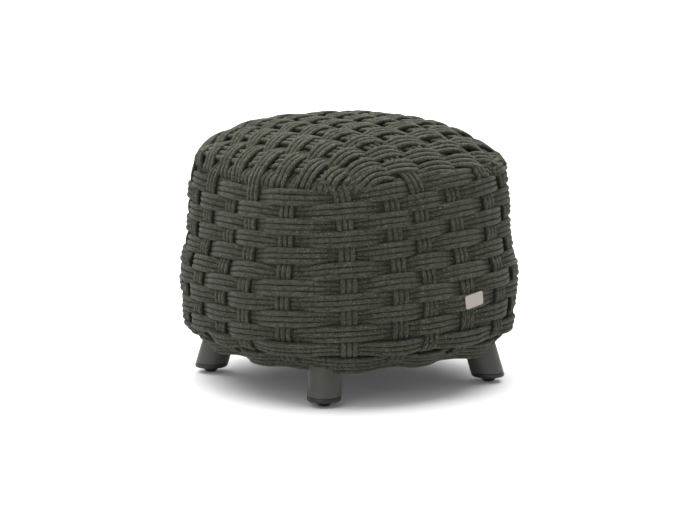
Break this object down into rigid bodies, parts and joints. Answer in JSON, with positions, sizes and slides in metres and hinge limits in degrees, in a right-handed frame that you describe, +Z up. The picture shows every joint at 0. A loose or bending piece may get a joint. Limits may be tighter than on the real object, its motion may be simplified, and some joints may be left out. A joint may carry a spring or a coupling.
{
  "type": "outdoor ottoman footstool",
  "caption": "Rope-woven outdoor footstool with a crowned top, a rounded-square body that bellies out at the bottom, short splayed round legs and screw glides.",
  "frame": {"origin": "on the floor, under the middle of the stool", "axes": "+Z up; -Y out of the front wall, which carries the label; +X to the right of someone who faces that wall; the legs stand under the four corners"},
  "size_m": [0.5034, 0.505, 0.41],
  "materials": {
    "rope": "matt heathered grey-green braided rope",
    "frame": "matt powder coat",
    "legs": "fine matt powder coat, grey-green",
    "bolts": "plain stainless",
    "caps": "black, satin",
    "glides": "black, satin",
    "label": "pale beige, smooth, bare"
  },
  "bodies": {
    "base": {"side_weave": "rope", "top_weave": "rope", "label": "label", "top_ring": "frame", "belly_ring": "frame", "bottom_ring": "frame", "long_arch": "frame", "front_half_arch": "frame", "rear_half_arch": "frame", "rib_1": "frame", "rib_2": "frame", "rib_3": "frame", "rib_4": "frame", "rib_5": "frame", "rib_6": "frame", "rib_7": "frame", "rib_8": "frame", "leg_plate_front": "frame", "leg_front": "legs", "leg_cap_front": "caps", "leg_bolt_front_a": "bolts", "leg_bolt_front_b": "bolts", "leg_plate_right": "frame", "leg_right": "legs", "leg_cap_right": "caps", "leg_bolt_right_a": "bolts", "leg_bolt_right_b": "bolts", "leg_plate_rear": "frame", "leg_rear": "legs", "leg_cap_rear": "caps", "leg_bolt_rear_a": "bolts", "leg_bolt_rear_b": "bolts", "leg_plate_left": "frame", "leg_left": "legs", "leg_cap_left": "caps", "leg_bolt_left_a": "bolts", "leg_bolt_left_b": "bolts"},
    "glide_front": {"glide_front": "glides"},
    "glide_right": {"glide_right": "glides"},
    "glide_rear": {"glide_rear": "glides"},
    "glide_left": {"glide_left": "glides"}
  },
  "joints": [
    {"name": "glide_front_travel", "type": "slide", "parent": "base", "child": "glide_front", "axis": [0, 0, -1], "range_m": [0, 0.008]},
    {"name": "glide_right_travel", "type": "slide", "parent": "base", "child": "glide_right", "axis": [0, 0, -1], "range_m": [0, 0.008]},
    {"name": "glide_rear_travel", "type": "slide", "parent": "base", "child": "glide_rear", "axis": [0, 0, -1], "range_m": [0, 0.008]},
    {"name": "glide_left_travel", "type": "slide", "parent": "base", "child": "glide_left", "axis": [0, 0, -1], "range_m": [0, 0.008]}
  ]
}
